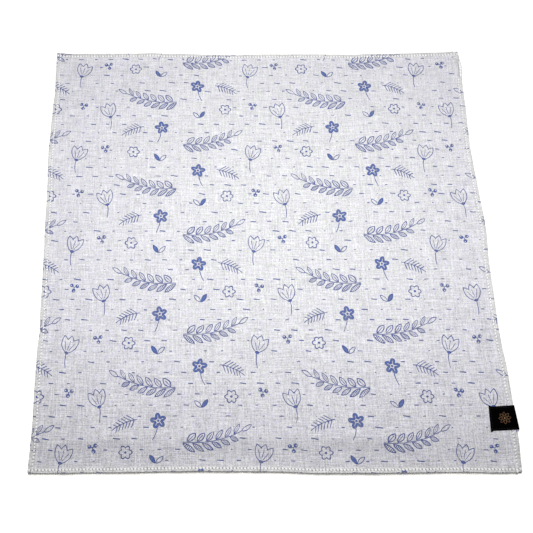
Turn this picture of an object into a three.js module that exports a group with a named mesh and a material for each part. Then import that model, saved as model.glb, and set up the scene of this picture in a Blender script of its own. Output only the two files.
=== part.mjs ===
// A hemmed cotton handkerchief lying flat, face up, with a woven label folded over its right edge.
// Millimetres, +Z up. The origin is under the middle of the cloth, on the surface it lies on,
// and +Y runs from the front edge to the back edge.
import * as THREE from 'three';

// Cloth
const side = 420; // each finished side, hem to hem
const sideLean = 1.77; // degrees that the left and right sides lean leftward on their way back
const clothThick = 1.0;
const hem = { width: 5, thick: 1.6, slope: 2.5, round: 0.4 };
const gap = 0.3; // clearance between the cloth and the label

// Label: reach is how far its front flap comes in over the cloth, along is from the front right corner
const label = { along: 46.6, width: 21, reach: 21.9, backReach: 20.5, thick: 1.0, foldOut: 1.5 };
const foldSegments = 10;
const labelRoom = { margin: 13, fade: 26 }; // level cloth round the label, then its slope down

// How each side runs, anticlockwise from the front left corner, a row for each bow or dip:
// along is from the side's first corner, out is outward of the straight side, up is off the surface
const sides = {
  front: [
    { along: 0, out: 0, up: 0.8 },
    { along: 60, out: -0.9, up: 0.2 },
    { along: 145, out: -1.9, up: 1.0 },
    { along: 210, out: -1.4, up: 0 },
    { along: 260, out: -0.4, up: 0.3 },
    { along: 300, out: -0.2, up: 1.2 },
    { along: 350, out: -0.9, up: 0.2 },
    { along: 420, out: 0, up: 1.0 },
  ],
  right: [
    { along: 0, out: 0, up: 1.0 },
    { along: 32, out: 1.35, up: 0.4 },
    { along: 68, out: 1.35, up: 0.2 },
    { along: 134, out: -0.9, up: 1.1 },
    { along: 170, out: -0.6, up: 0.3 },
    { along: 225, out: 0.7, up: 0 },
    { along: 300, out: -1.5, up: 1.3 },
    { along: 350, out: -0.3, up: 0.2 },
    { along: 384, out: 0.1, up: 0.8 },
    { along: 402, out: 1.9, up: 2.6 },
    { along: 420, out: 0, up: 1.2 },
  ],
  back: [
    { along: 0, out: 0, up: 1.2 },
    { along: 30, out: -0.3, up: 0.4 },
    { along: 115, out: -2.4, up: 0.9 },
    { along: 150, out: -1.8, up: 0.1 },
    { along: 225, out: -2.3, up: 0.8 },
    { along: 330, out: 0.7, up: 0 },
    { along: 380, out: 0.1, up: 0.7 },
    { along: 420, out: 0, up: 1.4 },
  ],
  left: [
    { along: 0, out: 0, up: 1.4 },
    { along: 40, out: 0.4, up: 0.2 },
    { along: 108, out: 1.9, up: 0.9 },
    { along: 170, out: 0.2, up: 0 },
    { along: 290, out: -1.4, up: 1.1 },
    { along: 370, out: -0.7, up: 0.1 },
    { along: 420, out: 0, up: 0.8 },
  ],
};
const edgeReach = 24; // how far in from a side its lift dies away

// Soft swells where the cloth stands off the surface: centre, turn of the crest, half length, half width
const swells = [
  { x: -122, y: -172, turn: 2, long: 88, wide: 21, high: 2.6 },
  { x: 78, y: -176, turn: -4, long: 58, wide: 19, high: 2.3 },
  { x: 8, y: -98, turn: -12, long: 105, wide: 22, high: 1.6 },
  { x: 158, y: -84, turn: 62, long: 62, wide: 19, high: 1.7 },
  { x: -172, y: -28, turn: 84, long: 104, wide: 21, high: 1.9 },
  { x: -66, y: 74, turn: 48, long: 82, wide: 23, high: 1.6 },
  { x: 146, y: 26, turn: 104, long: 74, wide: 20, high: 1.8 },
  { x: -120, y: 158, turn: 16, long: 84, wide: 22, high: 1.8 },
  { x: 92, y: 142, turn: -34, long: 92, wide: 21, high: 2.0 },
];
const restLevel = 0.3; // a swell lower than this is pressed flat
const restEase = 0.6; // how gently the cloth leaves the surface

// Grid of the cloth: rows at the hem, and cells closer together near the sides
const innerCells = 34;
const edgeCrowding = 0.05;

const smooth = (t) => t * t * (3 - 2 * t);
const ramp = (low, high, value) => smooth(THREE.MathUtils.clamp((value - low) / (high - low), 0, 1));

function rowAt(rows, along) {
  const next = Math.max(1, rows.findIndex((row) => row.along >= along));
  const [from, to] = [rows[next - 1], rows[next]];
  const t = ramp(from.along, to.along, along);
  return { out: from.out + (to.out - from.out) * t, up: from.up + (to.up - from.up) * t };
}

// The four sides as seen from a point that lies across from the left side and deep from the front one
function sidesAt(across, deep) {
  return {
    front: { ...rowAt(sides.front, across), distance: deep },
    right: { ...rowAt(sides.right, deep), distance: side - across },
    back: { ...rowAt(sides.back, side - across), distance: side - deep },
    left: { ...rowAt(sides.left, side - deep), distance: across },
  };
}

// Where a point of the cloth lies seen from above: a square, leaned over and bowed along its sides
function placeAt(across, deep) {
  const near = sidesAt(across, deep);
  const share = (name) => near[name].out * (1 - near[name].distance / side);
  const lean = Math.tan(THREE.MathUtils.degToRad(sideLean));
  return {
    x: across - side / 2 - (deep - side / 2) * lean + share('right') - share('left'),
    y: deep - side / 2 + share('back') - share('front'),
  };
}

function swellHeight(swell, x, y) {
  const turn = THREE.MathUtils.degToRad(swell.turn);
  const [dx, dy] = [x - swell.x, y - swell.y];
  const alongCrest = (dx * Math.cos(turn) + dy * Math.sin(turn)) / swell.long;
  const acrossCrest = (dy * Math.cos(turn) - dx * Math.sin(turn)) / swell.wide;
  return swell.high * Math.exp(-(alongCrest ** 2) - acrossCrest ** 2);
}

function edgeLift(across, deep) {
  const near = Object.values(sidesAt(across, deep));
  const weights = near.map((edge) => Math.exp(-((edge.distance / edgeReach) ** 2)));
  const total = weights.reduce((sum, weight) => sum + weight);
  return near.reduce((sum, edge, i) => sum + weights[i] ** 2 * edge.up, 0) / total;
}

// 1 where the label's back flap lies under the cloth, and 0 away from it
function overLabel(across, deep) {
  const { margin, fade } = labelRoom;
  const inward = side - across - label.reach - margin;
  const sideways = Math.abs(deep - label.along) - label.width / 2 - margin;
  return (1 - ramp(0, fade, inward)) * (1 - ramp(0, fade, sideways));
}

// Height of the cloth's underside
function liftAt(across, deep) {
  const { x, y } = placeAt(across, deep);
  const swell = swells.reduce((sum, row) => sum + swellHeight(row, x, y), 0);
  const loose = Math.max(0, swell + edgeLift(across, deep) - restLevel);
  const settled = loose ** 2 / (loose + restEase);
  const over = overLabel(across, deep);
  return settled * (1 - over) + (label.thick + gap) * over;
}

function thickAt(across, deep) {
  const inside = Math.min(across, deep, side - across, side - deep);
  return hem.thick + (clothThick - hem.thick) * ramp(hem.width, hem.width + hem.slope, inside);
}

// Distances of the grid lines from a side
function gridLines() {
  const start = hem.width + hem.slope;
  const lines = [0, hem.width];
  for (let i = 0; i <= innerCells; i += 1) {
    const t = i / innerCells;
    lines.push(start + (side - 2 * start) * (t - edgeCrowding * Math.sin(2 * Math.PI * t)));
  }
  return [...lines, side - hem.width, side];
}

// One closed sheet: an upper and a lower grid, joined by a rounded rim along the folded edge
function clothGeometry() {
  const lines = gridLines();
  const last = lines.length - 1;
  const vertices = [];
  const faces = [];

  const addPoint = (across, deep, z) => {
    const { x, y } = placeAt(across, deep);
    return vertices.push(x, y, z) / 3 - 1;
  };
  const drawnIn = (distance) => THREE.MathUtils.clamp(distance, hem.round, side - hem.round);
  const layer = (heightAt) => lines.map((across) => lines.map((deep) => (
    addPoint(drawnIn(across), drawnIn(deep), heightAt(across, deep))
  )));
  const upper = layer((across, deep) => liftAt(across, deep) + thickAt(across, deep));
  const lower = layer(liftAt);

  const addQuad = (a, b, c, d, flip) => {
    if (flip) faces.push(a, b, d, b, c, d);
    else faces.push(a, b, c, a, c, d);
  };
  for (let i = 0; i < last; i += 1) {
    for (let j = 0; j < last; j += 1) {
      const flip = (i + j) % 2 === 1;
      addQuad(upper[i][j], upper[i + 1][j], upper[i + 1][j + 1], upper[i][j + 1], flip);
      addQuad(lower[i][j], lower[i][j + 1], lower[i + 1][j + 1], lower[i + 1][j], flip);
    }
  }

  // The rim goes once round, front, right, back, left
  const rim = [];
  for (let k = 0; k < last; k += 1) rim.push([k, 0]);
  for (let k = 0; k < last; k += 1) rim.push([last, k]);
  for (let k = last; k > 0; k -= 1) rim.push([k, last]);
  for (let k = last; k > 0; k -= 1) rim.push([0, k]);
  const middle = rim.map(([i, j]) => (
    addPoint(lines[i], lines[j], liftAt(lines[i], lines[j]) + hem.thick / 2)
  ));
  rim.forEach(([i, j], k) => {
    const n = (k + 1) % rim.length;
    const [nextI, nextJ] = rim[n];
    addQuad(lower[i][j], lower[nextI][nextJ], middle[n], middle[k], false);
    addQuad(middle[k], middle[n], upper[nextI][nextJ], upper[i][j], false);
  });

  const geometry = new THREE.BufferGeometry();
  geometry.setAttribute('position', new THREE.Float32BufferAttribute(vertices, 3));
  geometry.setIndex(faces);
  geometry.computeVertexNormals();
  return geometry;
}

// The label's section across the edge: a back flap, a round fold outside the hem and a front flap
// that steps down with the cloth behind the hem. x is outward from the cloth's edge and y is up.
function labelGeometry() {
  const { thick, reach, backReach, foldOut, width } = label;
  const height = 2 * thick + 2 * gap + hem.thick;
  const behindHem = hem.width + hem.slope;
  const step = hem.thick - clothThick;
  const section = new THREE.Shape();
  section.moveTo(-backReach, 0);
  section.lineTo(0, 0);
  section.absellipse(0, height / 2, foldOut, height / 2, -Math.PI / 2, Math.PI / 2, false);
  section.lineTo(-hem.width, height);
  section.lineTo(-behindHem, height - step);
  section.lineTo(-reach, height - step);
  section.lineTo(-reach, height - step - thick);
  section.lineTo(-behindHem, height - step - thick);
  section.lineTo(-hem.width, height - thick);
  section.lineTo(0, height - thick);
  section.absellipse(0, height / 2, foldOut - thick, height / 2 - thick, Math.PI / 2, -Math.PI / 2, true);
  section.lineTo(-backReach, thick);
  section.closePath();
  const settings = { depth: width, bevelEnabled: false, curveSegments: foldSegments };
  const geometry = new THREE.ExtrudeGeometry(section, settings);
  geometry.rotateX(Math.PI / 2);
  geometry.translate(0, width / 2, 0);
  return geometry;
}

const printedCotton = new THREE.MeshStandardMaterial({ color: 0xdfe1e9, roughness: 0.92, metalness: 0 });
const blackSatin = new THREE.MeshStandardMaterial({ color: 0x0c0b10, roughness: 0.6, metalness: 0 });

const cloth = new THREE.Mesh(clothGeometry(), printedCotton);
cloth.name = 'cloth';

const labelMesh = new THREE.Mesh(labelGeometry(), blackSatin);
labelMesh.name = 'label';
const edge = placeAt(side, label.along);
labelMesh.position.set(edge.x, edge.y, 0);
labelMesh.rotation.z = THREE.MathUtils.degToRad(sideLean);

const handkerchief = new THREE.Group();
handkerchief.add(cloth, labelMesh);

export default handkerchief;
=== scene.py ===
import math
import random

import bpy
import numpy as np
from mathutils import Matrix, Vector


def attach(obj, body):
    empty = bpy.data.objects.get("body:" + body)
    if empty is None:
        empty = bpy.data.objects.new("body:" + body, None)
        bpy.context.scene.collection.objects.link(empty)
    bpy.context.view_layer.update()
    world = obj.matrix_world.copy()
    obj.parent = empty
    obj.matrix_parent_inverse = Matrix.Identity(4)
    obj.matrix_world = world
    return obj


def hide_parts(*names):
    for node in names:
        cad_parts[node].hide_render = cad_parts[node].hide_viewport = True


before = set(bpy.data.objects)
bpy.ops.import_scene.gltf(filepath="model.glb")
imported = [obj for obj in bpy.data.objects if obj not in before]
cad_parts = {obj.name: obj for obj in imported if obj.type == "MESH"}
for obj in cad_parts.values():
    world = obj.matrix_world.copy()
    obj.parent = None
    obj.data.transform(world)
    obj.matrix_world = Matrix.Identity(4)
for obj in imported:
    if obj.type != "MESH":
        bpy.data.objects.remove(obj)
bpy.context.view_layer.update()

# Everything below is sized in millimetres and made in metres.
mm = 0.001
print("frame loaded")


# Shape of the cloth as it lies

cloth = {
    "side": 420,           # finished length of each side
    "lean": 1.77,          # degrees leftward, on the way back
    "thick": 0.42,
    "hemWidth": 5.0,
    "hemThick": 1.2,       # three layers, pressed
    "endHem": 0.8,         # share of the extra thickness in the front and back hems
    "crossPress": 0.15,    # share of theirs pressed away where two hems cross
    "hemSettle": 5.5,      # how far behind the hem the cloth is back on the table
    "rimRound": 0.4,
    "backRound": 1.7,      # the back hem is plumper
    "cornerRound": 1.0,
    "edgeReach": 24,       # how far in from a side its lift dies away
    "bowReach": 45,        # and its bow
    "restLevel": 0.3,      # a swell lower than this lies flat
    "restEase": 0.6,
    "stitchCount": 144,    # along each side
    "stitchLines": {"front": 2.6, "right": 4.0, "back": 3.4, "left": 4.0},  # from the folded edge
    "stitchRoom": 0.4,     # height of a stitch below that rests on the table
    "sideFull": (1.2, 0.7),  # how full the side stitches are, in front and at the back
    "closing": [0.9, 2.3, 4.4, 5.9],  # stitches sewn twice, from the front right corner
    "seed": 11,
}
span = cloth["side"]
stitchPitch = span / cloth["stitchCount"]

# How each side runs, anticlockwise: along it, out from its straight line, and up off the table
sides = {
    "front": [(0, -2.1, 0.2), (14, -2.0, 0.4), (60, -2.6, 0.6), (145, -3.7, 0.9), (195, -3.4, 0.6),
              (215, -3.1, 0.5), (245, -2.0, 0.6), (300, -2.1, 1.0), (370, -2.8, 0.6), (407, -2.2, 0.5),
              (414, -2.4, 0.4), (420, -2.7, 0.4)],
    "right": [(0, 0, 0.4), (25, 1.2, 0.4), (80, 1.0, 0.2), (125, -1.3, 1.1), (180, -0.8, 0.3),
              (225, 1.4, 0.1), (262, 0, 0.3), (292, -1.6, 1.2), (308, -1.9, 1.1), (328, -1.1, 0.6),
              (360, -0.1, 0.2), (380, 0.3, 0.8), (402, 1.9, 2.6), (420, 0, 1.2)],
    "back": [(0, 0, 1.2), (30, -0.5, 0.4), (70, -1.9, 0.6), (95, -2.2, 0.8), (111, -3.1, 0.9),
             (130, -2.5, 0.5), (150, -1.9, 0.1), (195, -2.4, 0.6), (240, -3.1, 0.8), (260, -2.5, 0.6),
             (282, -1.1, 0.3), (300, -0.8, 0.2), (321, 0.1, 0), (342, -0.4, 0.1), (380, -0.3, 0.7),
             (405, -0.6, 1.0), (420, 0, 1.4)],
    "left": [(0, 0, 1.4), (24, 0.2, 0.5), (46, -0.4, 0.3), (66, 0.6, 0.5), (90, 1.0, 0.8),
             (112, 1.7, 0.9), (170, 0.2, 0), (277, -1.6, 1.0), (295, -2.3, 1.1), (314, -1.2, 0.9),
             (340, -1.0, 0.5), (382, -1.5, 0.1), (420, -0.2, 0.2)],
}

# The front hem curls up off the table, least at its two corners.
curl = {"high": 1.15, "reach": 6, "cornerShare": 0.2, "cornerReach": 20}

# Soft swells: x and y of the centre, turn of the crest, half length, half width, height
swells = [
    (-122, -164, 2, 88, 22, 1.6),
    (-156, -180, 3, 52, 9, 2.7),
    (-20, -179, 1, 78, 10, 3.2),
    (92, -180, -3, 46, 9, 2.9),
    (78, -164, -4, 58, 20, 1.4),
    (8, -98, -12, 105, 22, 1.6),
    (158, -84, 62, 62, 19, 0.5),
    (-172, -28, 84, 104, 21, 1.9),
    (-66, 74, 48, 82, 23, 1.6),
    (146, 26, 104, 74, 20, 1.8),
    (-120, 158, 16, 84, 22, 1.8),
    (92, 142, -34, 92, 21, 2.0),
]

crumple = {
    "broad": 0.14,
    "fine": 0.04,
    "hemPucker": 0.22,     # of the cloth behind the hem
    "puckerPlace": (8, 5.5),  # how far in that is, and how far it spreads
    "hemRope": 0.07,       # the slanting twist of a folded hem
    "ropePitch": 7.4,
    "ropeSlant": 0.9,
    "ropeDrift": 1.3,
    "holeDepth": 0.32,     # of the cloth at each needle hole
    "holeLong": 0.5,
    "holeWide": 1.1,       # the thread pulls a short valley across the seam
    "grooveDepth": 0.13,   # of the cloth along the stitches
    "grooveHalf": 0.7,
    "pullBelow": 0.6,      # share of the stitches' pull on the underside
    "thinnest": 0.4,       # share of its thickness that the cloth keeps under a crease
    "nearLabel": 0.15,     # share of the unevenness left under the label
}

# The waves of which each is made: how many, the shortest and the longest
waves = {"broad": (26, 17, 46), "fine": (22, 7, 13),
         "hemPucker": (12, 7.5, 19), "ropeDrift": (6, 30, 70)}

# The hem's lower fold peeps out past its upper one near the back right corner. Its line is how wide the
# painted shade along its fold and edge spreads.
lip = {"start": 385, "full": 391, "fading": 404, "end": 416, "width": 2.9, "thick": 0.5, "line": 0.45}

label = {
    "along": 46.3,         # middle of the label, from the front right corner
    "width": 21.0,
    "reach": 21.9,         # of the front flap, in over the cloth
    "backReach": 20.5,
    "thick": 0.36,
    "foldOut": 1.3,        # of its fold, past the cloth's edge
    "taper": 0.055,        # wider towards the front, by this share each way from its middle
    "skew": 0.05,          # sewn a little askew
    "lift": 0.5,           # of the cloth, over the back flap
    "overHem": 0.3,        # clearance over the hem and its stitches
    "overCloth": 0.12,
    "roomMargin": 5,
    "roomFade": 24,
    "turnUnder": 2.4,      # folded-in end of the front flap
    "turnThick": 0.8,      # and how much it adds, in thicknesses
    "flare": 0.8,          # how far its folded corners stick out
    "puff": 0.16,
    "puffReach": 6,        # how far in it reaches that
    "stitchLine": 1.4,     # from the label's edge
    "stitchPitch": 2.1,
    "groove": 0.14,        # how deep its stitches press it down
    "grooveHalf": 0.55,
    "rows": {"across": 43, "back": 40, "fold": 15, "front": 52},
}


def smooth(t):
    return t * t * (3 - 2 * t)


def ramp(low, high, value):
    return smooth(np.clip((value - low) / (high - low), 0, 1))


def rowAt(name, along):
    stops, *rows = np.array(sides[name], float).T
    nextRow = np.clip(np.searchsorted(stops, along), 1, len(stops) - 1)
    t = ramp(stops[nextRow - 1], stops[nextRow], along)
    return [row[nextRow - 1] * (1 - t) + row[nextRow] * t for row in rows]


def inFrom(value):
    # distance to the nearer of two opposite sides
    return np.minimum(value, span - value)


def sidesAt(across, deep):
    # for each side, how far out and up it runs here, and how far away it is
    return {
        "front": (*rowAt("front", across), deep),
        "right": (*rowAt("right", deep), span - across),
        "back": (*rowAt("back", span - across), span - deep),
        "left": (*rowAt("left", span - deep), across),
    }


def placeAt(across, deep):
    # a square, leaned over and bowed along its sides
    lean = math.tan(math.radians(cloth["lean"]))
    share = {name: out * (1 - away / span) * np.exp(-away / cloth["bowReach"])
             for name, (out, _, away) in sidesAt(across, deep).items()}
    x = across - span / 2 - (deep - span / 2) * lean + share["right"] - share["left"]
    y = deep - span / 2 + share["back"] - share["front"]
    return x, y


def swellAt(x, y):
    total = 0
    for centreX, centreY, turn, long, wide, high in swells:
        c, s = math.cos(math.radians(turn)), math.sin(math.radians(turn))
        alongCrest = ((x - centreX) * c + (y - centreY) * s) / long
        acrossCrest = ((y - centreY) * c - (x - centreX) * s) / wide
        total = total + high * np.exp(-alongCrest ** 2 - acrossCrest ** 2)
    return total


def labelRoom(across, deep):
    # 1 over the label's back flap, easing to 0 around it
    inward = span - across - label["reach"] - label["roomMargin"]
    sideways = np.abs(deep - label["along"]) - label["width"] / 2 - label["roomMargin"]
    fade = label["roomFade"]
    return (1 - ramp(0, fade, inward)) * (1 - ramp(0, fade, sideways))


def liftAt(across, deep):
    # height of the cloth's underside over the table
    x, y = placeAt(across, deep)
    weights, lifts = 0, 0
    for _, up, away in sidesAt(across, deep).values():
        weight = np.exp(-(away / cloth["edgeReach"]) ** 2)
        weights, lifts = weights + weight, lifts + weight ** 2 * up
    loose = np.maximum(0, swellAt(x, y) + lifts / np.maximum(weights, 1e-12) - cloth["restLevel"])
    settled = loose ** 2 / (loose + cloth["restEase"])
    over = labelRoom(across, deep)
    fromCorner = ramp(1, curl["cornerReach"], inFrom(across))
    curled = curl["cornerShare"] + (1 - curl["cornerShare"]) * fromCorner
    curled = curled * curl["high"] * (1 - np.clip(deep / curl["reach"], 0, 1)) ** 2
    return settled * (1 - over) + label["lift"] * over + curled


def ripples(name, x, y, seed):
    # a sum of waves in every direction
    rng = random.Random(cloth["seed"] + seed)
    count, shortest, longest = waves[name]
    total = 0
    for _ in range(count):
        length = rng.uniform(shortest, longest)
        turn, phase = rng.uniform(0, math.pi), rng.uniform(0, 2 * math.pi)
        total = total + np.sin((x * math.cos(turn) + y * math.sin(turn)) * 2 * math.pi / length + phase)
    return total / math.sqrt(count / 2) * crumple[name]


def hemShare(away):
    # 1 on the hem, easing to 0 behind it
    return 1 - ramp(cloth["hemWidth"] - 0.2, cloth["hemWidth"] + cloth["hemSettle"], away)


def seamPull(along, away, line):
    # how deep the stitches pull: a groove, and a dimple at each needle hole
    fromLine = away - line
    fromHole = along - np.round(along / stitchPitch) * stitchPitch
    groove = crumple["grooveDepth"] * np.exp(-(fromLine / crumple["grooveHalf"]) ** 2)
    fromHole = np.hypot(fromHole / crumple["holeLong"], fromLine / crumple["holeWide"])
    dimple = crumple["holeDepth"] * np.exp(-fromHole ** 2)
    return groove + dimple


def reliefAt(across, deep):
    # soft crumple, and the twist and pucker of the hem
    relief = ripples("broad", across, deep, 0) + ripples("fine", across, deep, 1)
    place, spread = crumple["puckerPlace"]
    for number, (name, (_, _, away)) in enumerate(sidesAt(across, deep).items()):
        along = across if name in ("front", "back") else deep
        behindHem = np.exp(-((away - place) / spread) ** 2)
        onHem = 1 - ramp(4.2, 5.6, away)
        pucker = ripples("hemPucker", along, away * 0.35, 3 + number)
        drift = ripples("ropeDrift", along, 0 * away, 9 + number)
        turn = 2 * math.pi * (along + crumple["ropeSlant"] * away) / crumple["ropePitch"]
        relief = relief + behindHem * pucker + crumple["hemRope"] * onHem * np.sin(turn + drift)
    return relief * (1 - (1 - crumple["nearLabel"]) * labelRoom(across, deep))


def calmTopAt(across, deep):
    # upper side without its small unevenness
    shareX, shareY = hemShare(inFrom(across)), hemShare(inFrom(deep))
    extra = cloth["hemThick"] - cloth["thick"]
    stack = extra * (shareX + cloth["endHem"] * shareY * (1 - cloth["crossPress"] * shareX))
    return liftAt(across, deep) + cloth["thick"] + stack


def lipReach(deep):
    return ramp(lip["start"], lip["full"], deep) * (1 - ramp(lip["fading"], lip["end"], deep))


def lipShare(across, deep):
    edge = lip["width"] * lipReach(deep)
    return lipReach(deep) * (1 - ramp(edge - 0.25, edge + 0.2, span - across))


# painted shade along the lip's fold and along its outer edge
def paintedLipShade(across, deep):
    away = span - across
    fromFold = away - lip["width"] * lipReach(deep) - 0.2
    folds = np.exp(-(fromFold / lip["line"]) ** 2) + 0.8 * np.exp(-((away - 0.2) / lip["line"]) ** 2)
    return np.sqrt(lipReach(deep)) * folds


def surfacesAt(across, deep):
    # heights of the cloth's upper and lower sides
    awayX, awayY = inFrom(across), inFrom(deep)
    inFront = deep < span / 2
    lift = liftAt(across, deep)
    lines = cloth["stitchLines"]
    endLine = np.where(inFront, lines["front"], lines["back"])
    pull = np.maximum(seamPull(deep, awayX, lines["left"]), seamPull(across, awayY, endLine))
    rough = np.maximum(reliefAt(across, deep), -cloth["thick"] * (1 - crumple["thinnest"]))
    top = calmTopAt(across, deep) + rough - pull
    top = top - (cloth["hemThick"] - lip["thick"]) * lipShare(across, deep)
    inHem = 1 - ramp(4.75, 5.1, np.minimum(awayX, awayY))
    bottom = lift + (top + pull - lift - cloth["thick"]) * (1 - inHem)
    bottom = np.maximum(bottom, 0) + crumple["pullBelow"] * pull * inHem
    bulge = 1
    endRound = np.where(inFront, cloth["rimRound"], cloth["backRound"])
    for away, rimRound in ((awayX, cloth["rimRound"]), (awayY, endRound)):
        fromRound = 1 - np.clip(away / rimRound, 0, 1)
        bulge = bulge * np.sqrt(1 - fromRound ** 2)
    middle = (top + bottom) / 2
    return middle + (top - middle) * bulge, middle - (middle - bottom) * bulge


def roundedCorner(across, deep):
    # pulls the outline in to a small round at each corner
    radius = cloth["cornerRound"]
    u, v = [1 - np.minimum(inFrom(value) / radius, 1) for value in (across, deep)]
    pulls = [(a - a * np.sqrt(1 - b * b / 2)) * radius for a, b in ((u, v), (v, u))]
    return [value + np.where(value < span / 2, pull, -pull)
            for value, pull in zip((across, deep), pulls)]


# Cloth mesh: fine cells in a band along the hem, coarser ones inside and below

mesh = {
    "hemRows": [0, 0.16, 0.5, 1.1, 1.75, 2.05, 2.6, 3.2, 3.6, 4.0, 4.4, 4.8, 5.1, 5.9, 7.2],
    "bandCells": 12,       # width of the band, in cells along it
    "cellsToStitch": 4,
    "upperStep": 3,        # cells to a coarse one
    "lowerStep": 6,
    "lowerRows": [0, 2, 5, 7, 9, 11, 12, 13, 15],
}


def gridLines():
    cell = stitchPitch / mesh["cellsToStitch"]
    band = mesh["bandCells"] * cell
    rows = mesh["hemRows"] + [band]
    innerCount = round(span / cell) - 2 * mesh["bandCells"]
    inner = [band + cell * i for i in range(1, innerCount)]
    return np.array(rows + inner + [span - row for row in reversed(rows)]), len(rows) - 1


def pairs(stops):
    return list(zip(stops, stops[1:]))


def patchCells(bandStops, last, alongStep, innerStep):
    band = bandStops[-1]
    low = pairs(bandStops)
    high = [(last - b, last - a) for a, b in reversed(low)]
    along = pairs(range(band, last - band + 1, alongStep))
    inner = pairs(range(band, last - band + 1, innerStep))
    cells = [(i, j) for i in low + high for j in low + along + high]
    cells += [(i, j) for i in along for j in low + high]
    return cells + [(i, j) for i in inner for j in inner]


def cornersOf(cells, last):
    used = np.zeros((last + 1, last + 1), bool)
    for (i0, i1), (j0, j1) in cells:
        used[[i0, i1, i1, i0], [j0, j0, j1, j1]] = True
    return used


def ringOf(cell, ids):
    # every point on its border, so that it joins finer neighbours
    (i0, i1), (j0, j1) = cell
    ring = [ids[i][j0] for i in range(i0, i1)]
    ring += [ids[i1][j] for j in range(j0, j1)]
    ring += [ids[i][j1] for i in range(i1, i0, -1)]
    ring += [ids[i0][j] for j in range(j1, j0, -1)]
    return [k for k in ring if k >= 0]


def newObject(name, data):
    made = bpy.data.objects.new(name, data)
    bpy.context.collection.objects.link(made)
    return made


def makeMesh(name, points, faces, mapName=None, mapPoints=None):
    data = bpy.data.meshes.new(name)
    data.from_pydata(np.asarray(points).tolist(), [], faces)
    if mapName:
        layer = data.uv_layers.new(name=mapName)
        loops = np.zeros(len(data.loops), int)
        data.loops.foreach_get("vertex_index", loops)
        layer.data.foreach_set("uv", np.asarray(mapPoints)[loops].ravel())
    data.update()
    data.polygons.foreach_set("use_smooth", [True] * len(data.polygons))
    return newObject(name, data)


def makeCloth():
    lines, band = gridLines()
    last = len(lines) - 1
    across, deep = np.meshgrid(lines, lines, indexing="ij")
    x, y = placeAt(*roundedCorner(across, deep))
    top, bottom = surfacesAt(across, deep)
    upperCells = patchCells(range(band + 1), last, 1, mesh["upperStep"])
    lowerCells = patchCells(mesh["lowerRows"], last, mesh["upperStep"], mesh["lowerStep"])
    upper = cornersOf(upperCells, last)
    lower = cornersOf(lowerCells, last)
    rim = np.ones_like(upper)
    rim[1:-1, 1:-1] = False
    lower &= ~rim
    upperIds = np.where(upper, np.cumsum(upper).reshape(upper.shape) - 1, -1)
    lowerIds = np.where(lower, np.cumsum(lower).reshape(lower.shape) - 1 + upper.sum(), -1)
    lowerIds[rim] = upperIds[rim]
    upperIds, lowerIds = upperIds.tolist(), lowerIds.tolist()
    faces = [ringOf(cell, upperIds) for cell in upperCells]
    faces += [ringOf(cell, lowerIds)[::-1] for cell in lowerCells]
    points = np.concatenate([np.stack([x, y, top], -1)[upper], np.stack([x, y, bottom], -1)[lower]])
    mapPoints = np.stack([across, deep], -1) / span
    piece = makeMesh("clothSheet", points * mm, faces,
                     "clothMap", np.concatenate([mapPoints[upper], mapPoints[lower]]))
    below = np.ones(lower.sum())
    # the reverse side, where the ink is paler and painted light is added, and the painted shade at the
    # lip
    for key, shown, hidden in (("reverse", lipShare, below), ("lipShadeLines", paintedLipShade, 0 * below)):
        data = piece.data.attributes.new(key, "FLOAT", "POINT")
        values = np.concatenate([shown(across, deep)[upper], hidden])
        data.data.foreach_set("value", values.astype(np.float32))
    return piece


clothSheet = makeCloth()
print("cloth:", len(clothSheet.data.polygons), "faces")


# Label: one strip from under the cloth, round its edge and back over it

def labelHeight(sideways, away):
    # middle of the front flap, which its own stitches press down
    clearance = label["overCloth"]
    clearance = clearance + (label["overHem"] - clearance) * (1 - ramp(6, 11, away))
    height = calmTopAt(span - away, label["along"] + sideways) + clearance + label["thick"] / 2
    fromEdge = np.minimum(label["width"] / 2 - np.abs(sideways), label["reach"] - away)
    height = height + label["puff"] * (1 - (1 - np.clip(fromEdge / label["puffReach"], 0, 1)) ** 2)
    groove = np.exp(-((fromEdge - label["stitchLine"]) / label["grooveHalf"]) ** 2)
    return height - label["groove"] * groove


def labelPlace(sideways, away):
    turned = ramp(label["reach"] - label["turnUnder"], label["reach"] - 0.6, away)
    half, middle = label["width"] / 2, label["reach"] / 2
    spread = sideways * (1 + turned * label["flare"] / half)
    tapered = middle + (away - middle) * (1 - label["taper"] * sideways / half)
    return placeAt(span - tapered, label["along"] + spread + (middle - away) * label["skew"])


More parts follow.
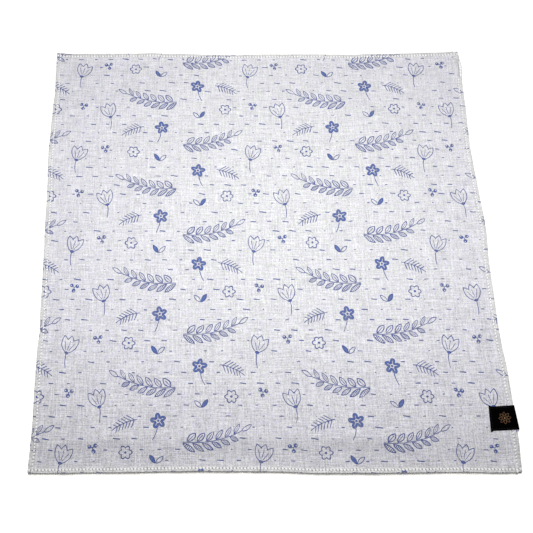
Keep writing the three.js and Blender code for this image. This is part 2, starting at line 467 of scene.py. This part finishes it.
def makeLabel():
    thick, foldStart = label["thick"], 0.5
    half, counts = label["width"] / 2, label["rows"]
    sideways = np.linspace(-half, half, counts["across"])[None, :]
    backAway = np.linspace(label["backReach"], foldStart, counts["back"])[:, None] + 0 * sideways
    frontAway = np.linspace(foldStart, label["reach"], counts["front"])[:, None] + 0 * sideways
    low = thick / 2 + 0.03
    high = labelHeight(sideways, foldStart)
    turn = np.radians(np.linspace(-90, 90, counts["fold"])[1:-1])[:, None]
    foldAway = foldStart - (foldStart + label["foldOut"] - thick / 2) * np.cos(turn) + 0 * sideways
    foldHeight = (low + high) / 2 + (high - low) / 2 * np.sin(turn)
    away = np.concatenate([backAway, foldAway, frontAway])
    height = np.concatenate([low + 0 * backAway, foldHeight, labelHeight(sideways, frontAway)])
    run, rise = np.gradient(away, axis=0), np.gradient(height, axis=0)
    long = np.hypot(run, rise)
    toward = np.stack([-rise / long, run / long])  # from the middle to the outer face
    turnStart = label["reach"] - label["turnUnder"]
    doubled = ramp(turnStart, turnStart + 0.5, away)
    doubled[:len(backAway) + len(foldAway)] = 0
    layers = []
    for offset in (thick / 2 + doubled * thick * label["turnThick"], -thick / 2 + 0 * doubled):
        layerAway, layerHeight = away + toward[0] * offset, height + toward[1] * offset
        x, y = labelPlace(sideways, layerAway)
        layers.append(np.stack([x, y, np.maximum(layerHeight, 0.02)], -1))
    rows, columns = away.shape
    inward = rows * columns  # from an outer point to its inner one
    outer = np.arange(inward).reshape(rows, columns)
    faces = [(outer[i, j], outer[i, j + 1], outer[i + 1, j + 1], outer[i + 1, j])
             for i in range(rows - 1) for j in range(columns - 1)]
    faces += [(a + inward, d + inward, c + inward, b + inward) for a, b, c, d in faces]
    border = [outer[0, :], outer[:, -1], outer[::-1][0, ::-1], outer[::-1, 0]]
    ring = np.concatenate([line[:-1] for line in border])
    faces += [(a, a + inward, b + inward, b) for a, b in zip(ring, np.roll(ring, -1))]
    fromEnd = np.cumsum(long[::-1], axis=0)[::-1] - long[-1]
    mapPoints = np.stack([fromEnd, sideways + 0 * fromEnd], -1).reshape(-1, 2)
    points = np.concatenate([layer.reshape(-1, 3) for layer in layers])
    piece = makeMesh("labelFold", points * mm, np.array(faces).tolist(),
                     "labelMap", np.concatenate([mapPoints] * 2) * mm)
    return piece, float(long.sum(axis=0).mean())


labelFold, labelLength = makeLabel()
print("label:", len(labelFold.data.polygons), "faces,", round(labelLength, 1), "mm long unfolded")


# Node maths, for materials and Geometry Nodes alike

class Wire:
    # one output of a node, to which a written sum adds Math nodes
    def __init__(self, tree, socket=None):
        self.tree, self.socket = tree, socket

    def node(self, kind, settings=None, inputs=None, output=0):
        made = self.tree.nodes.new(kind)
        for name, value in (settings or {}).items():
            setattr(made, name, value)
        for key, value in (inputs or {}).items():
            if isinstance(value, Wire):
                self.tree.links.new(value.socket, made.inputs[key])
            else:
                made.inputs[key].default_value = value
        return Wire(self.tree, made.outputs[output])

    def of(self, operation, *others):
        values = dict(enumerate((self, *others)))
        return self.node("ShaderNodeMath", {"operation": operation}, values)

    def __add__(self, other):
        return self.of("ADD", other)

    def __sub__(self, other):
        return self.of("SUBTRACT", other)

    def __rsub__(self, other):
        return self.node("ShaderNodeMath", {"operation": "SUBTRACT"}, {0: other, 1: self})

    def __mul__(self, other):
        return self.of("MULTIPLY", other)

    def __truediv__(self, other):
        return self.of("DIVIDE", other)

    def __neg__(self):
        return self * -1

    def __abs__(self):
        return self.of("ABSOLUTE")

    __radd__, __rmul__ = __add__, __mul__


def vector(x, y, z=0.0):
    wire = next(value for value in (x, y, z) if isinstance(value, Wire))
    return wire.node("ShaderNodeCombineXYZ", {}, {0: x, 1: y, 2: z})


def parts(wire):
    return [wire.node("ShaderNodeSeparateXYZ", {}, {0: wire}, axis) for axis in (0, 1)]


def reach(x, y):
    return x.node("ShaderNodeVectorMath", {"operation": "LENGTH"}, {0: vector(x, y)}, 1)


def clamped(wire):
    return wire.node("ShaderNodeClamp", {}, {0: wire})


def noiseAt(spot, scale, more=None, output=0):
    inputs = {"Vector": spot, "Scale": scale, **(more or {})}
    return spot.node("ShaderNodeTexNoise", {}, inputs, output)


# Shapes of the print are distances in millimetres, below 0 inside. So are the sizes in each motif.

def either(first, *others):
    for other in others:
        first = first.of("MINIMUM", other)
    return first


def both(first, *others):
    for other in others:
        first = first.of("MAXIMUM", other)
    return first


def filled(shape, edge):
    return clamped(0.5 - shape / edge)


def repeatNumber(value, pitch, low, high):
    return either(both((value / pitch).of("ROUND"), low), high)


def stroke(shape, width="line"):
    return abs(shape) - printed[width]


def sector(x, y, count):
    # the same point, turned into the first of count equal sectors
    far = reach(x, y)
    turn = y.of("ARCTAN2", x).of("WRAP", math.pi / count, -math.pi / count)
    return far * turn.of("COSINE"), far * turn.of("SINE"), far


def almond(along, across, halfLong, halfWide):
    radius = (halfLong ** 2 + halfWide ** 2) / (2 * halfWide)
    return reach(along, abs(across) + (radius - halfWide)) - radius


# The print: one blue ink, in mirrored half-drop columns

printed = {
    "columnWidth": 86,
    "repeat": 96,
    "wobble": 0.9,
    "wobbleSize": 6.5,
    "line": 0.35,          # half the width of a drawn line
    "thinLine": 0.24,
    "edge": 0.24,
    "pen": 0.5,            # how unevenly the pen draws
    "penScale": 0.3,
    "dashRow": 9.6,
    "dashPitch": 15.5,
    "dashShift": 0.38,     # from row to row, in pitches
    "dashTilt": 0.3,
    "dashClear": 2.0,
}


def leafySprig(x, y):
    # upper leaves with a vein, lower ones hatched, and one at the tip
    spread, pitch = math.radians(42), 8.2
    y = y - x * x * 0.006 + 1.4
    below = y.of("LESS_THAN", 0.0)
    start = x - abs(y) / math.tan(spread) + below * (pitch / 2)
    number = repeatNumber(start, pitch, -3, 2)
    offAxis = start - number * pitch
    size = 1 - 0.055 * number
    along = (abs(y) / math.sin(spread) + offAxis * math.cos(spread)) / size
    across = offAxis * math.sin(spread) / size
    leaf = almond(along - 6.0, across, 4.7, 1.85)
    vein = both(stroke(across, "thinLine"), abs(along - 5.0) - 3.6, -y)
    hatch = both(leaf, stroke(along.of("WRAP", 0.6, -0.6), "thinLine"), y)
    stem = both(stroke(y), abs(x + 1.5) - 26)
    tip = stroke(almond(x - 29, y, 4.7, 1.8))
    return either(stem, stroke(leaf), vein, hatch, tip)


def solidBlossom(x, y):
    out, off, far = sector(x, y, 5)
    petal = (reach((out - 4.1) / 3.1, off / 2.4) - 1) * 2.4
    slit = both(abs(off) - 0.26, out - 4.8)
    petal = both(petal, -slit, 1.9 - far)
    stalk = both(stroke(x - (y + 6) * (y + 6) * 0.018), y + 6.5, -17 - y)
    return either(petal, far - 1.1, stalk)


def bellFlower(x, y):
    far, turn = reach(x, y), x.of("ARCTAN2", y)
    turn = turn - repeatNumber(turn, 0.44, -1, 1) * 0.44
    along, across = far * turn.of("COSINE"), far * turn.of("SINE")
    petal = almond(along - 8.2, across, 8.0, 3.3)
    vein = both(stroke(across, "thinLine"), abs(along - 7) - 4.2)
    cup = reach(x / 2.0, (y - 0.4) / 1.3) - 1
    stem = both(stroke(x - y * y * 0.02), y, -13 - y)
    return either(stroke(petal), vein, cup, stem)


def berries(x, y):
    out, off, _ = sector(x, y, 3)
    shine = reach(out - 3.5, off - 0.4) - 0.6
    stem = both(stroke(off), out - 3)
    return either(both(reach(out - 3.0, off) - 1.75, -shine), stem)


def fernTwig(x, y):
    spread, pitch = math.radians(52), 3.1
    y = y + x * x * 0.012
    start = x - abs(y) / math.tan(spread)
    number = repeatNumber(start, pitch, -3, 2)
    barb = stroke((start - number * pitch) * math.sin(spread))
    barb = both(barb, abs(y) + number * 0.45 - 4.6)
    return either(both(stroke(y), abs(x) - 12), barb)


def openBlossom(x, y):
    out, off, far = sector(x, y, 6)
    petal = (reach((out - 3.1) / 2.7, off / 1.9) - 1) * 1.9
    return either(stroke(petal), far - 1.0)


def leafPair(x, y):
    spread = math.radians(50)
    along = abs(x) * math.cos(spread) + y * math.sin(spread)
    across = abs(x) * math.sin(spread) - y * math.cos(spread)
    leaf = almond(along - 4.8, across, 4.2, 1.7)
    return either(stroke(leaf), both(leaf, -x))


def dashes(x, y, clearOf):
    row = (y / printed["dashRow"]).of("ROUND")
    shifted = x + row * (printed["dashPitch"] * printed["dashShift"])
    column = (shifted / printed["dashPitch"]).of("ROUND")
    chance = x.node("ShaderNodeTexWhiteNoise", {"noise_dimensions": "2D"},
                    {"Vector": vector(row, column)})
    fromX = shifted - column * printed["dashPitch"]
    fromY = y - row * printed["dashRow"] + fromX * (chance - 0.5) * printed["dashTilt"]
    dash = both(abs(fromY) - 0.32 - chance * 0.18, abs(fromX) - (chance * 3.4 - 0.1))
    return both(dash, printed["dashClear"] - clearOf)


# Each motif with its place in the repeat and its turn
motifs = [
    (leafySprig, -12, 28, 12),
    (solidBlossom, -25, -4, 8),
    (bellFlower, 27, 8, -16),
    (berries, 31, -27, 20),
    (fernTwig, 5, -6, -24),
    (openBlossom, 3, -31, 0),
    (leafPair, -23, -41, 6),
]


def printAt(across, deep):
    # distance to the nearest drawn shape
    noise = noiseAt(vector(across, deep), 1 / printed["wobbleSize"], {"Detail": 1.0}, 1)
    wobbleX, wobbleY = [(part - 0.5) * printed["wobble"] for part in parts(noise)]
    x, y = across + wobbleX, deep + wobbleY
    column = (x / printed["columnWidth"]).of("ROUND")
    odd = column.of("FLOORED_MODULO", 2)
    half = printed["repeat"] / 2
    cell = vector((x - column * printed["columnWidth"]) * (1 - 2 * odd),
                  (y + odd * half).of("WRAP", half, -half))
    shapes = []
    for motif, motifX, motifY, turn in motifs:
        spot = cell.node("ShaderNodeMapping", {"vector_type": "TEXTURE"}, {
            "Vector": cell, "Location": (motifX, motifY, 0), "Rotation": (0, 0, math.radians(turn))})
        shapes.append(motif(*parts(spot)))
    drawn = either(*shapes)
    pressure = noiseAt(vector(across, deep, 5.0), printed["penScale"]) - 0.5
    return either(drawn, dashes(x, y, drawn)) + pressure * printed["pen"]


# Finishes

def newMaterial(name):
    material = bpy.data.materials.new(name)
    material.use_nodes = True
    shader = material.node_tree.nodes["Principled BSDF"]
    return material, shader, Wire(material.node_tree)


def colourMix(amount, first, second):
    return amount.node("ShaderNodeMix", {"data_type": "RGBA"}, {0: amount, 6: first, 7: second}, 2)


def bump(start, height, strength, distance=mm):
    inputs = {"Strength": strength, "Distance": distance, "Height": height}
    return start.node("ShaderNodeBump", {}, inputs)


def feed(shader, wire, name):
    wire.tree.links.new(wire.socket, shader.inputs[name])


def setInputs(shader, values):
    for name, value in values.items():
        shader.inputs[name].default_value = value


def attribute(start, name):
    return start.node("ShaderNodeAttribute", {"attribute_name": name}, {}, 2)


cotton = {
    "bare": (0.603, 0.614, 0.600, 1),
    "blueThread": (0.610, 0.595, 0.674, 1),
    "blueStreaks": (5.0, 3.2, 1.8),  # how long, wide and strong
    "blueShare": 0.34,     # of the blue threads, where the painted blue tint of the light is least
    "leastBlueLight": (0.54, 0.6),  # where that is, as shares of the width and depth
    "bluerLightAtSides": 0.3,     # painted tint of the light: how much bluer the cloth is drawn towards the sides, at most
    "darkBlue": 0.5,       # how far the darker threads are also the bluer ones
    "drawnInk": (0.021, 0.044, 0.208, 1),
    "filledInk": (0.056, 0.105, 0.315, 1),
    "inkPatches": 2.5,     # how unevenly the two mix
    "patchScale": 0.14,
    "inkCover": 0.94,
    "inkStreaks": 0.8,
    "reverseInk": 0.3,     # how much of the ink shows on the back
    # painted light: how much lighter the reverse side is drawn, where it shows at the lip and
    # underneath
    "reversePaintedLight": 0.42,
    "streaks": [           # how long, wide and deep, along the weft and along the warp
        (16.0, 0.80, 0.85, 0.66),
        (1.9, 0.56, 0.88, 0.79),
    ],
    "frontStreakShade": 0.38,  # how much stronger they are in front, in bump and as painted shade where the light grazes
    "thread": 0.42,        # from one thread to the next
    # painted shade round the needle holes of the hem: how strong it is and how far it spreads
    "holeShade": 0.45,
    "frontHoles": 0.35,    # how much darker than that they are in front
    "sideShade": (0.5, 0.1),  # along the left and right sides, in front and at the back
    "holeLong": 0.85,
    "holeWide": 1.2,
    "backTick": 1.3,       # how much further the back holes reach to the edge
    "frontHemLight": 0.1,       # painted light: how much lighter the front hem is drawn
    "hemColour": (0.606, 0.605, 0.605, 1),  # the hems are the least blue
    "hemFade": 8,          # how far in that colour dies away
    "foldShade": 0.55,
    "rough": 0.92,
    "sheen": 0.12,
    "bump": 0.6,
    "weaveHigh": 0.02,
    "streakHigh": 0.1,
}


def slub(x, y, long, wide, seed):
    return noiseAt(vector(x / long, y / wide, seed), 1.0, {"Detail": 2.0, "Roughness": 0.6}) - 0.5


def holeShade(across, deep, edgeX, edgeY):
    # painted shade round each needle hole of the hem, drawn out to the edge at the back
    long, wide, lines = cotton["holeLong"], cotton["holeWide"], cloth["stitchLines"]
    inFront = deep.of("LESS_THAN", span / 2)
    fromLine = edgeY - lines["back"] - inFront * (lines["front"] - lines["back"])
    tick = fromLine.of("LESS_THAN", 0.0) * (1 - inFront) * cotton["backTick"]
    alongX, alongY = [v.of("WRAP", stitchPitch / 2, -stitchPitch / 2) / long for v in (across, deep)]
    depth = cotton["holeShade"] + inFront * cotton["frontHoles"]
    atEnd = clamped(1 - reach(alongX, fromLine / (tick * wide + wide))) * depth
    front, back = cotton["sideShade"]
    depth = front + deep * ((back - front) / span)
    atSide = clamped(1 - reach(alongY, (edgeX - lines["left"]) / wide)) * depth
    return both(atEnd, atSide)


def makeCotton():
    material, shader, start = newMaterial("printedCotton")
    onMap = start.node("ShaderNodeUVMap", {"uv_map": "clothMap"})
    across, deep = [part * span for part in parts(onMap)]
    reverse, lipShadeLines = attribute(start, "reverse"), attribute(start, "lipShadeLines")
    edgeX, edgeY = [v.of("PINGPONG", span / 2) for v in (across, deep)]
    weft, warp = 0, 0
    for seed, (long, wide, weftDepth, warpDepth) in enumerate(cotton["streaks"]):
        weft = slub(across, deep, long, wide, 3.1 + seed) * weftDepth + weft
        warp = slub(deep, across, long, wide, 7.7 + seed) * warpDepth + warp
    # the streaks grow towards the front, partly as painted shade
    streaks = (weft + warp) * (1 + (1 - deep / span).of("POWER", 3) * cotton["frontStreakShade"])
    turn = math.pi / cotton["thread"]
    weave = (across * turn).of("SINE") * (deep * turn).of("SINE")
    worn = 1 - cotton["reverseInk"]
    shape = printAt(across, deep)
    cover = cotton["inkCover"] + streaks * cotton["inkStreaks"]
    cover = filled(shape, printed["edge"]) * cover * (1 - reverse * worn)
    patch = noiseAt(vector(across, deep, 8.0), cotton["patchScale"]) - 0.5
    inside = (-printed["line"] - shape) / printed["edge"] + patch * cotton["inkPatches"]
    ink = colourMix(clamped(inside), cotton["drawnInk"], cotton["filledInk"])
    long, wide, strong = cotton["blueStreaks"]
    bluer = slub(deep, across, long, wide, 12.3) - slub(across, deep, long, wide / 2, 15.2)
    # painted tint of the light, bluer away from one place
    fromLeastBlueLight = [part / (span / 2) - 2 * place
                  for part, place in zip((across, deep), cotton["leastBlueLight"])]
    share = reach(*fromLeastBlueLight).of("POWER", 2) * cotton["bluerLightAtSides"]
    share = either(share, cotton["bluerLightAtSides"]) + cotton["blueShare"]
    bluer = clamped(share + bluer * strong - streaks * cotton["darkBlue"])
    ground = colourMix(bluer, cotton["bare"], cotton["blueThread"])
    onHem = clamped(1 - either(edgeX, edgeY) / cotton["hemFade"])
    ground = colourMix(onHem, ground, cotton["hemColour"])
    colour = colourMix(clamped(cover), ground, ink)
    # random tone of the weave, with painted light and shade
    toneLightAndShade = (1 + streaks) * (1 - holeShade(across, deep, edgeX, edgeY))
    # painted shade along the lip's fold and edge
    toneLightAndShade = toneLightAndShade * (1 - lipShadeLines * cotton["foldShade"])
    # painted light on the front hem
    toneLightAndShade = toneLightAndShade * (1 + filled(deep - cloth["hemWidth"], 0.5) * cotton["frontHemLight"])
    # painted light on the reverse side
    toneLightAndShade = toneLightAndShade * (1 + reverse * cotton["reversePaintedLight"])
    shade = start.node("ShaderNodeVectorMath", {"operation": "SCALE"}, {0: colour, "Scale": toneLightAndShade})
    feed(shader, shade, "Base Color")
    high = weave * cotton["weaveHigh"] + streaks * cotton["streakHigh"]
    feed(shader, bump(start, high, cotton["bump"]), "Normal")
    setInputs(shader, {"Roughness": cotton["rough"], "Sheen Weight": cotton["sheen"]})
    print("printed cotton:", len(start.tree.nodes), "nodes")
    return material


# The last three are the heights of its relief.
woven = {
    "ground": (0.0003, 0.0003, 0.0005, 1),
    "lighter": (0.0012, 0.0011, 0.0016, 1),
    "copper": (0.40, 0.228, 0.125, 1),
    "pick": 0.34,          # from one crossing thread to the next
    "flowerAway": 9.2,     # middle of the flower, from the cloth's edge
    "rough": 0.72,
    "specular": 0.008,
    "bump": 0.5,
    "ribs": 0.03,
    "floats": 0.02,
    "flower": 0.08,
}


def wovenFlower(x, y):
    # eight open petals round a small centre
    out, off, far = sector(x, y, 8)
    petal = almond(out - 3.3, off, 1.75, 0.95)
    return either(abs(petal) - 0.08, far - 0.6)


def makeWoven():
    material, shader, start = newMaterial("wovenLabel")
    onMap = start.node("ShaderNodeUVMap", {"uv_map": "labelMap"})
    fromEnd, sideways = [part / mm for part in parts(onMap)]
    turn = 2 * math.pi / woven["pick"]
    ribs = (fromEnd * turn).of("SINE")
    floats = (sideways * turn * 0.8 + (fromEnd / woven["pick"]).of("ROUND") * 2.1).of("SINE")
    middle = label["reach"] - woven["flowerAway"]
    flower = filled(wovenFlower(fromEnd - middle, sideways), 0.25)
    flower = flower * (0.78 + floats * 0.22)
    ground = colourMix(slub(fromEnd, sideways, 6, 0.5, 2.0) + 0.5, woven["ground"], woven["lighter"])
    feed(shader, colourMix(flower, ground, woven["copper"]), "Base Color")
    high = ribs * woven["ribs"] + floats * woven["floats"] + flower * woven["flower"]
    feed(shader, bump(start, high, woven["bump"]), "Normal")
    setInputs(shader, {"Roughness": woven["rough"], "Specular IOR Level": woven["specular"]})
    return material


def makeThread(name, colour, rough, specular):
    material, shader, start = newMaterial(name)
    along, around = attribute(start, "threadAlong"), attribute(start, "threadAround")
    ply = ((along * 5 + around) * (2 * math.pi)).of("SINE")
    # the twist of the plies, with painted shade in the grooves between them
    dark = tuple(part * 0.9 for part in colour[:3]) + (1,)
    feed(shader, colourMix(0.5 + ply * 0.5, dark, colour), "Base Color")
    feed(shader, bump(start, ply, 0.3, 0.1 * mm), "Normal")
    setInputs(shader, {"Roughness": rough, "Specular IOR Level": specular})
    return material


clothSheet.data.materials.append(makeCotton())
labelFold.data.materials.append(makeWoven())
print("finishes made")


# Stitches: one short arched thread on each point of a seam

def stitchTree():
    tree = bpy.data.node_groups.new("stitchesOnPoints", "GeometryNodeTree")
    sockets = {"Points": "Geometry", **dict.fromkeys(hemThread, "Float"),
               "Seed": "Int", "Thread": "Material"}
    for name, kind in sockets.items():
        tree.interface.new_socket(name, in_out="INPUT", socket_type="NodeSocket" + kind)
    tree.interface.new_socket("Stitches", in_out="OUTPUT", socket_type="NodeSocketGeometry")
    start = Wire(tree)
    given = {name: start.node("NodeGroupInput", {}, {}, k) for k, name in enumerate(sockets)}
    half = given["Length"] / 2
    low = -given["Sink"]
    line = start.node("GeometryNodeCurveQuadraticBezier", {}, {
        "Resolution": 7, "Start": vector(-half, 0.0, low), "End": vector(half, 0.0, low),
        "Middle": vector(low * 0, 0.0, given["Arch"] * 2 + given["Sink"])})
    circle = start.node("GeometryNodeCurvePrimitiveCircle", {}, {
        "Resolution": 6, "Radius": given["Thickness"] / 2})
    factor = start.node("GeometryNodeSplineParameter")
    line, circle = [start.node("GeometryNodeStoreNamedAttribute", {"data_type": "FLOAT"},
                               {"Geometry": curve, "Name": name, "Value": factor})
                    for curve, name in ((line, "threadAlong"), (circle, "threadAround"))]
    taper = 1 - 0.6 * abs(factor * 2 - 1).of("POWER", 3)
    thread = start.node("GeometryNodeCurveToMesh", {},
                        {"Curve": line, "Profile Curve": circle, "Scale": taper, "Fill Caps": True})
    thread = start.node("GeometryNodeSetShadeSmooth", {}, {"Geometry": thread})
    up, run = [start.node("GeometryNodeInputNamedAttribute", {"data_type": "FLOAT_VECTOR"},
                          {"Name": name}) for name in ("up", "run")]
    level = start.node("FunctionNodeAxesToRotation",
                       {"primary_axis": "Z", "secondary_axis": "X"}, {0: up, 1: run})

    def chance(low, high, offset):
        # socket 2 is the lower value and 3 the higher
        return start.node("FunctionNodeRandomValue", {"data_type": "FLOAT"},
                          {2: low, 3: high, "Seed": given["Seed"] + offset}, 1)

    # the length of run says how full the stitch is
    full = start.node("ShaderNodeVectorMath", {"operation": "LENGTH"}, {0: run}, 1)
    wide = chance(1 - given["Variety"], 1.1, 3) * full
    slant = given["Slant"] + chance(-given["Variety"], given["Variety"], 1)
    swing = start.node("FunctionNodeAxisAngleToRotation", {}, {"Axis": (0, 0, 1), "Angle": slant})
    turned = start.node("FunctionNodeRotateRotation", {"rotation_space": "LOCAL"}, {0: level, 1: swing})
    placed = start.node("GeometryNodeInstanceOnPoints", {}, {
        "Points": given["Points"], "Instance": thread, "Rotation": turned,
        "Scale": vector(chance(0.92, 1.06, 2), wide, given["Flatness"] * full)})
    placed = start.node("GeometryNodeRealizeInstances", {}, {"Geometry": placed})
    placed = start.node("GeometryNodeSetMaterial", {}, {
        "Geometry": placed, "Material": given["Thread"]})
    start.node("NodeGroupOutput", {}, {0: placed}, slice(0, 0))
    return tree


def sewn(name, tree, rows, inputs):
    # each row is points, runs and ups, one for each stitch
    points, runs, ups = [np.concatenate(part) for part in zip(*rows)]
    piece = makeMesh(name, points * mm, [])
    for key, values in (("run", runs), ("up", ups)):
        data = piece.data.attributes.new(key, "FLOAT_VECTOR", "POINT")
        data.data.foreach_set("vector", values.astype(np.float32).ravel())
    modifier = piece.modifiers.new("stitches", "NODES")
    modifier.node_group = tree
    identifiers = {item.name: item.identifier for item in tree.interface.items_tree}
    for key, value in inputs.items():
        modifier[identifiers[key]] = value
    bpy.context.view_layer.update()
    evaluated = piece.evaluated_get(bpy.context.evaluated_depsgraph_get())
    baked = bpy.data.meshes.new_from_object(evaluated)
    piece.modifiers.remove(modifier)
    bare = piece.data
    piece.data = baked
    bpy.data.meshes.remove(bare)
    baked.name = name
    print(name + ":", len(points), "stitches,", len(baked.polygons), "faces")
    return piece


def unit(rows):
    return rows / np.linalg.norm(rows, axis=-1, keepdims=True)


def onSide(name, along, away):
    if name in ("front", "back"):
        return along, away if name == "front" else span - away
    return (span - away if name == "right" else away), along


def hemSeam(name, under, alongs, away):
    def point(along, fromEdge):
        across, deep = onSide(name, along, fromEdge)
        x, y = placeAt(across, deep)
        return np.stack([x, y, surfacesAt(across, deep)[under]], -1)

    ends = [np.clip(alongs + step, 1, span - 1) for step in (-stitchPitch, stitchPitch)]
    run = unit(point(ends[1], away) - point(ends[0], away))
    inward = unit(point(alongs, away + 0.9) - point(alongs, away - 0.9))
    up = unit(np.cross(run, inward))
    up = up * np.sign(up[:, 2:]) * (-1 if under else 1)
    points = point(alongs, away)
    if under:
        points[:, 2] = np.maximum(points[:, 2], cloth["stitchRoom"])
    if name in ("left", "right"):
        front, back = cloth["sideFull"]
        run = run * (front + (back - front) * alongs / span)[:, None]
    return points, run, up


hemThread = {
    "Length": 2.15 * mm,
    "Thickness": 1.45 * mm,
    "Flatness": 0.4,
    "Arch": 0.2 * mm,
    "Sink": 0.35 * mm,
    "Slant": -0.3,
    "Variety": 0.4,
    "Seed": 5,
    "Thread": makeThread("whiteThread", (0.97, 0.97, 0.97, 1), 0.7, 0.4),
}

# The front seam has shorter stitches of a thicker thread.
frontThread = {**hemThread, "Length": 2.05 * mm, "Thickness": 2.2 * mm, "Flatness": 0.36,
               "Slant": -0.5, "Variety": 0.16}

labelThread = {
    "Length": 1.8 * mm,
    "Thickness": 0.36 * mm,
    "Flatness": 0.8,
    "Arch": 0.12 * mm,
    "Sink": 0.1 * mm,
    "Slant": 0.12,
    "Variety": 0.08,
    "Seed": 8,
    "Thread": makeThread("blackThread", (0.006, 0.006, 0.007, 1), 0.6, 0.2),
}


def makeHemStitches(name, tree, seams, inputs):
    rng = np.random.default_rng(cloth["seed"])
    centres = (np.arange(cloth["stitchCount"]) + 0.5) * stitchPitch
    rows = []
    for seam in seams:
        for under in (0, 1):
            # the rolled hem by the lip hides its stitches
            shown = centres[lipReach(centres) < 0.3] if seam == "right" and not under else centres
            away = cloth["stitchLines"][seam] + rng.uniform(-0.07, 0.07, len(shown))
            rows.append(hemSeam(seam, under, shown, away))
    if "right" in seams:
        # the few back stitches that close the seam
        close = np.array(cloth["closing"])
        rows.append(hemSeam("right", 0, close, cloth["stitchLines"]["right"] + 0.3 + 0 * close))
    return sewn(name, tree, rows, inputs)


def makeLabelStitches(tree):
    line, pitch = label["stitchLine"], label["stitchPitch"]
    half, reachIn = label["width"] / 2, label["reach"]
    up = label["thick"] / 2
    sideRun = np.arange(1.2, reachIn - line, pitch) + pitch / 2
    endRun = np.arange(-half + line, half - line - 0.5, pitch) + pitch / 2
    runs = [(sideRun, (half - line) + 0 * sideRun), (sideRun, (line - half) + 0 * sideRun)]
    runs.append((reachIn - line + 0 * endRun, endRun))
    rows = []
    for away, sideways in runs:
        alongEnd = np.ptp(away) < 0.01
        stepAway, stepSide = (0, 0.5) if alongEnd else (0.5, 0)

        def point(a, s):
            raised = up + (label["thick"] * label["turnThick"] if alongEnd else 0)
            return np.stack([*labelPlace(s, a), labelHeight(s, a) + raised], -1)

        def heading(a, s):
            return unit(point(away + a, sideways + s) - point(away - a, sideways - s))

        run = heading(stepAway, stepSide)
        normal = unit(np.cross(run, heading(stepSide, stepAway)))
        rows.append((point(away, sideways), run, normal * np.sign(normal[:, 2:])))
    return sewn("labelStitches", tree, rows, labelThread)


tree = stitchTree()
hemStitches = makeHemStitches("hemStitches", tree, ["right", "back", "left"], hemThread)
frontStitches = makeHemStitches("frontStitches", tree, ["front"], frontThread)
labelStitches = makeLabelStitches(tree)


# Table, light and camera

studio = {
    "floorSize": 8000,
    "floorDrop": 0.06,
    "floorColour": (0.92, 0.92, 0.92, 1),
    "floorRough": 0.8,
    "floorGlow": 0.05,     # of the lit table under the cloth
    "softbox": 2.85,
    "softboxPlace": (3, 56, 332),
    "softboxSize": (653, 533),
    "softboxTilt": 19.7,   # its back edge is the higher one
    "tableLight": 4.4,     # on the table alone, from behind
    "tableLightTilt": -39,
    "tableLightAngle": 34,
    "tableLightColour": (1, 0.985, 0.93),
    "skyLight": 0.13,
    "skySeen": 1.0,
}


def makeFloor():
    half, z = studio["floorSize"] / 2, -studio["floorDrop"]
    corners = np.array([(-half, -half, z), (half, -half, z), (half, half, z), (-half, half, z)])
    floor = makeMesh("table", corners * mm, [(0, 1, 2, 3)])
    material, shader, _ = newMaterial("whiteTable")
    setInputs(shader, {"Base Color": studio["floorColour"], "Roughness": studio["floorRough"],
                       "Emission Color": (1, 1, 1, 1), "Emission Strength": studio["floorGlow"]})
    floor.data.materials.append(material)
    return floor


def newLamp(name, kind, tilt, floor, link):
    # a lamp that reaches the table alone, or all but the table
    data = bpy.data.lights.new(name, kind)
    data.energy = studio[name]
    lamp = newObject(name, data)
    lamp.rotation_euler.x = math.radians(tilt)
    reached = bpy.data.collections.new(name + "Reach")
    reached.objects.link(floor)
    reached.collection_objects[0].light_linking.link_state = link
    lamp.light_linking.receiver_collection = reached
    return lamp, data


def makeLamps(floor):
    _, sun = newLamp("tableLight", "SUN", studio["tableLightTilt"], floor, "INCLUDE")
    sun.color = studio["tableLightColour"]
    sun.angle = math.radians(studio["tableLightAngle"])
    lamp, box = newLamp("softbox", "AREA", studio["softboxTilt"], floor, "EXCLUDE")
    box.shape = "RECTANGLE"
    box.size, box.size_y = [size * mm for size in studio["softboxSize"]]
    lamp.location = Vector(studio["softboxPlace"]) * mm
    lamp.visible_camera = False


def makeSky():
    world = bpy.data.worlds.new("studio")
    bpy.context.scene.world = world
    world.use_nodes = True
    start = Wire(world.node_tree)
    seen = start.node("ShaderNodeLightPath")
    strength = studio["skyLight"] + seen * (studio["skySeen"] - studio["skyLight"])
    background = world.node_tree.nodes["Background"]
    setInputs(background, {"Color": (1, 1, 1, 1)})
    feed(background, strength, "Strength")


makeLamps(makeFloor())
makeSky()

view = {
    "place": (-11.2, -190.0, 541.6),
    "down": 73.01,         # degrees below the level
    "turn": -0.83,
    "roll": -0.92,
    "lens": 40.77,
    "shift": 0.03,
}


def makeCamera():
    data = bpy.data.cameras.new("camera")
    data.sensor_width = 36
    data.lens = view["lens"]
    data.shift_x = view["shift"]
    data.clip_start, data.clip_end = 0.02, 20
    place = Matrix.Translation(Vector(view["place"]) * mm)
    for degrees, axis in ((-view["turn"], "Z"), (90 - view["down"], "X"), (view["roll"], "Z")):
        place = place @ Matrix.Rotation(math.radians(degrees), 4, axis)
    camera = newObject("camera", data)
    camera.matrix_world = place
    bpy.context.scene.camera = camera


makeCamera()
bpy.context.scene.view_settings.view_transform = "Standard"
print("studio made")

pieces = {"printed_cotton": [clothSheet, hemStitches, frontStitches],
          "woven_label": [labelFold, labelStitches]}
for slot, made in pieces.items():
    for piece in made:
        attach(piece, "root")
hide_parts("cloth")
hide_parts("label")
